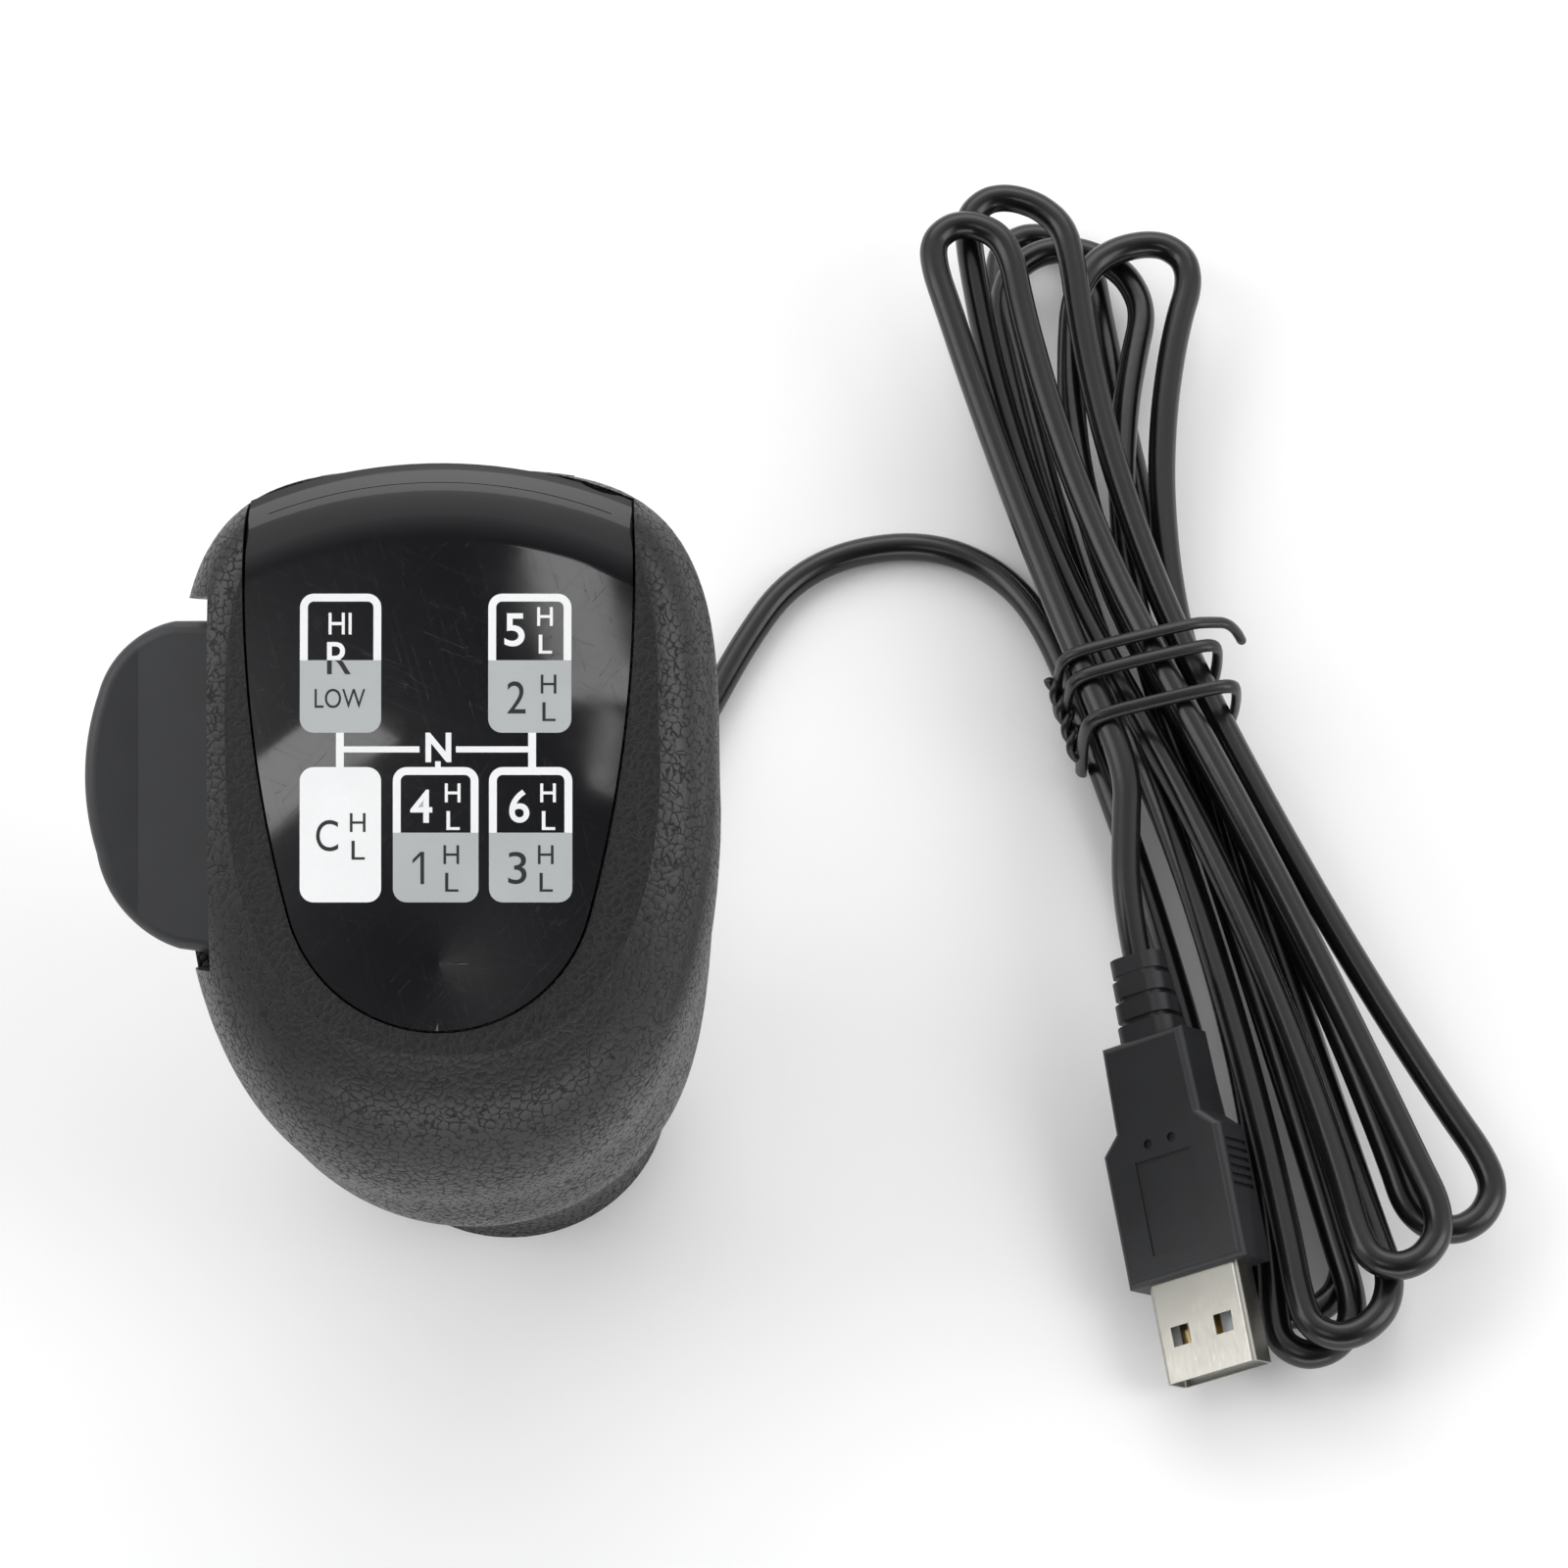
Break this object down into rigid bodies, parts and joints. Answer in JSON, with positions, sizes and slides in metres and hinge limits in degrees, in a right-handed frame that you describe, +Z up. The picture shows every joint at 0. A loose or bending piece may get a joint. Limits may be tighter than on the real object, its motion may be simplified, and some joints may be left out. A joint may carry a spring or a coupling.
{
  "type": "gear shift knob game controller",
  "caption": "Hand-held gear shift knob with a glossy pattern plate, a grained grip, a thumb paddle, a front range flap and a tied USB cord.",
  "frame": {"origin": "centre of the rod socket's mouth, on the flat foot of the neck", "axes": "+Z up along the rod socket, +Y to the front of the knob away from the driver, +X to the right, with the thumb paddle on the left"},
  "size_m": [0.1639, 0.1608, 0.0955],
  "materials": {
    "gloss_black": "polished black, fine scratches",
    "grained_grip": "charcoal, leather grain, satin",
    "paddle_matte": "smooth charcoal, matte",
    "steel": "ground",
    "bush_aluminium": "turned",
    "screw_steel": "black zinc",
    "switch_body": "moulded",
    "switch_plunger": "moulded red",
    "contact_brass": "plated",
    "board_green": "solder mask",
    "chip_black": "moulded",
    "crystal_metal": "drawn can",
    "header_white": "moulded white",
    "wire_jacket": "coloured insulation",
    "grommet_rubber": "moulded black",
    "cord_jacket": "smooth black, satin gloss",
    "tie_coating": "black coating",
    "plug_body": "moulded black, fine texture",
    "plug_shell": "nickel plated sheet"
  },
  "bodies": {
    "grip": {"pattern_plate": "gloss_black", "upper_grip_shell": "grained_grip", "lower_grip_shell": "grained_grip", "paddle_pin": "steel", "flap_pin": "steel", "rod_bush": "bush_aluminium", "rod_set_screws": "screw_steel", "shell_screws": "screw_steel", "board_screws": "screw_steel", "paddle_detent_ball": "steel", "paddle_detent_spring": "steel", "flap_detent_ball": "steel", "flap_detent_spring": "steel", "paddle_switch": "switch_body", "range_switch": "switch_body", "switch_terminals": "contact_brass", "circuit_board": "board_green", "controller_chip": "chip_black", "clock_crystal": "crystal_metal", "switch_header": "header_white", "usb_header": "header_white", "usb_wires": "wire_jacket", "switch_wires": "wire_jacket", "cable_grommet": "grommet_rubber", "cord_lead": "cord_jacket", "cord_hank": "cord_jacket", "cord_tail": "cord_jacket", "twist_tie": "tie_coating", "usb_strain_relief": "plug_body", "usb_overmold": "plug_body", "usb_metal_shell": "plug_shell", "usb_tongue": "header_white", "usb_contacts": "contact_brass"},
    "paddle": {"thumb_paddle": "paddle_matte"},
    "flap": {"range_flap": "paddle_matte"},
    "paddle_plunger": {"paddle_switch_plunger": "switch_plunger"},
    "range_plunger": {"range_switch_plunger": "switch_plunger"}
  },
  "joints": [
    {"name": "paddle_hinge", "type": "hinge", "parent": "grip", "child": "paddle", "pos_m": [-0.0211, 0.01079, 0.07322], "axis": [0, 0.9063, 0.4226], "range_deg": [0, 10]},
    {"name": "flap_hinge", "type": "hinge", "parent": "grip", "child": "flap", "pos_m": [-0.0041, 0.03427, 0.08582], "axis": [1, 0, 0], "range_deg": [0, 10]},
    {"name": "paddle_plunger_slide", "type": "slide", "parent": "grip", "child": "paddle_plunger", "axis": [0, 0.4226, -0.9063], "range_m": [0, 0.00122]},
    {"name": "range_plunger_slide", "type": "slide", "parent": "grip", "child": "range_plunger", "axis": [0, 0.4226, -0.9063], "range_m": [0, 0.00122]}
  ],
  "couplings": [
    {"joint": "paddle_plunger_slide", "follows": "paddle_hinge", "m_per_rad": 0.007},
    {"joint": "range_plunger_slide", "follows": "flap_hinge", "m_per_rad": 0.007}
  ]
}
